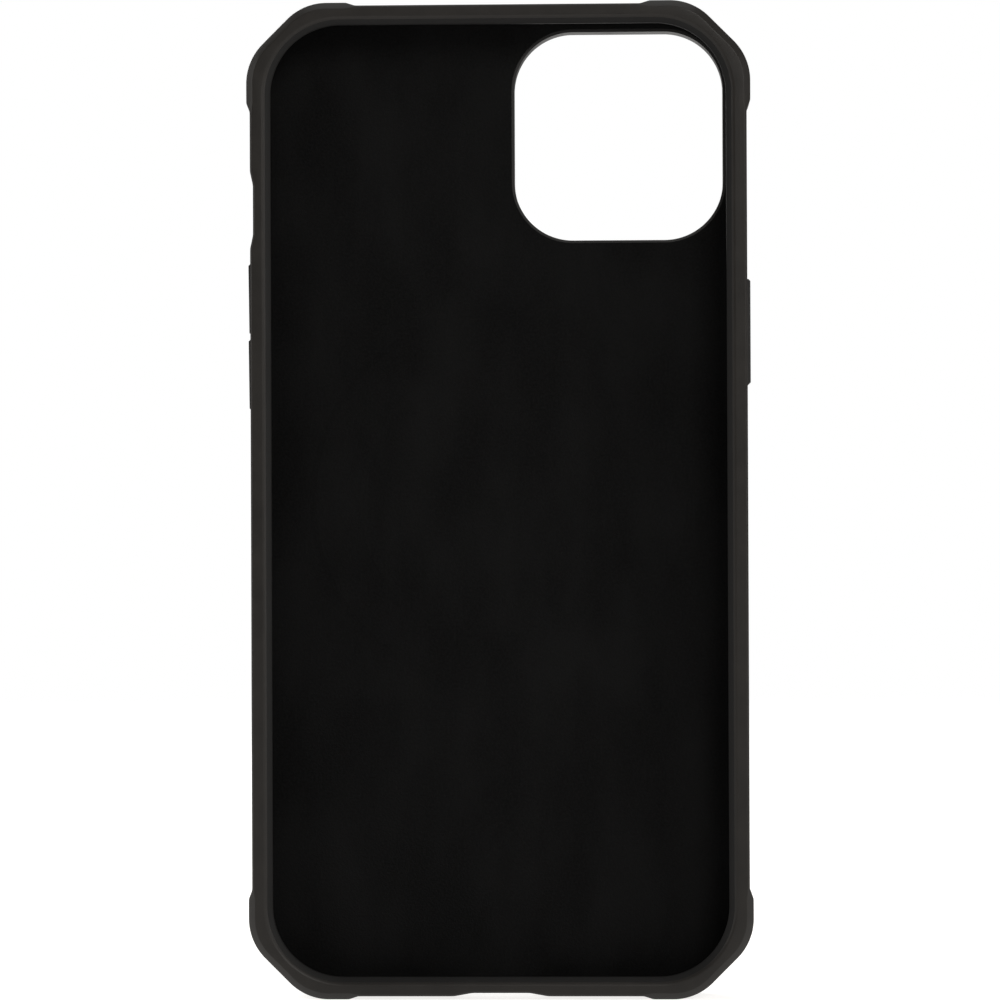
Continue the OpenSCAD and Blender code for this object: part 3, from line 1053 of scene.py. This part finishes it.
def make_camera():
    """A portrait lens in front of the case and a little to its right, held not quite level."""
    camera = bpy.data.cameras.new("camera")
    camera.sensor_width = SENSOR
    camera.lens = SENSOR * EYE_FAR / VIEW_WIDTH
    camera.clip_start, camera.clip_end = CLIP
    eye = bpy.data.objects.new("camera", camera)
    bpy.context.scene.collection.objects.link(eye)
    aim = Vector((0, -FRONT * MM, MIDDLE * MM))
    turn = Euler((math.radians(90) + EYE_TILT, EYE_ROLL, EYE_TURN))
    eye.rotation_euler = turn
    eye.location = aim + turn.to_matrix() @ Vector((VIEW_SIDE, VIEW_UP, EYE_FAR))
    bpy.context.scene.camera = eye


def dress_pieces():
    """New meshes for what can be seen or touched, each with its finish."""
    bay = outline(BAY, BAY_R, ramps=frame_ramps())
    plain_bay = outline(BAY, BAY_R, steps=40)
    camera = outline(CAMERA_HALF, CAMERA_R, CAMERA, steps=36)

    rubber = moulded("frame_rubber", tones=(0.0047, 0.0077), roughness=0.47, grain=0.22, depth=0.012,
                     specular=0.24, rub_and_highlight=0.3, warm=0.19)
    core = moulded("core_rubber", tones=(0.005, 0.0068), roughness=0.56, grain=0.18, depth=0.008,
                   specular=0.12, rub_and_highlight=0.3, warm=0.03)
    hard = moulded("key_plastic", tones=(0.009, 0.012), roughness=0.4, grain=0.15, depth=0.005,
                   specular=0.3)
    guard = moulded("guard_plastic", tones=(0.009, 0.012), roughness=0.42, grain=0.16, depth=0.006,
                    specular=0.3, rub_and_highlight=0.5)

    make_frame(bay, rubber)
    make_core(bay, core)
    make_guard(camera, guard)
    make_trim(camera, metal("trim_metal", tone=0.3, roughness=0.3, line=0.12))
    make_panel(plain_bay, camera, woven("panel_weave"))
    make_lining(plain_bay, camera, microfibre("lining_fabric"))
    for body in KEYS:
        make_key(body, hard)


def refinish_hidden():
    """Finishes for the CAD nodes inside the case, which keep their shapes."""
    plate = moulded("plate_plastic", tones=(0.016, 0.02), roughness=0.4, grain=0.2, depth=0.006,
                    specular=0.5, warm=0.0)
    refinish("back_plate", plate)
    refinish("panel_adhesive", glue("adhesive"))
    pads = moulded("pad_rubber", tones=(0.01, 0.014), roughness=0.6, grain=0.2, depth=0.01,
                   specular=0.3)
    for body in KEYS:
        refinish(body + "_pad", pads)
    carrier = moulded("carrier_plastic", tones=(0.5, 0.58), roughness=0.4, grain=0.3, depth=0.008,
                      specular=0.5, warm=0.02)
    refinish("magnet_carrier", carrier)
    plating = metal("magnet_plating", tone=0.62, roughness=0.28, line=0.1)
    refinish("magnet_ring", plating)
    refinish("alignment_magnet", plating)
    impact = foam("impact_pad", (0.58, 0.09, 0.03, 1.0))
    for corner in ("top_left", "top_right", "bottom_left", "bottom_right"):
        refinish("corner_pad_" + corner, impact)


def build():
    dress_pieces()
    refinish_hidden()
    make_floor()
    make_world()
    for name, (place, size, power, colour) in LIGHTS.items():
        make_light(name, place, size, power, colour)
    make_camera()
    bpy.context.scene.view_settings.view_transform = "Standard"


build()
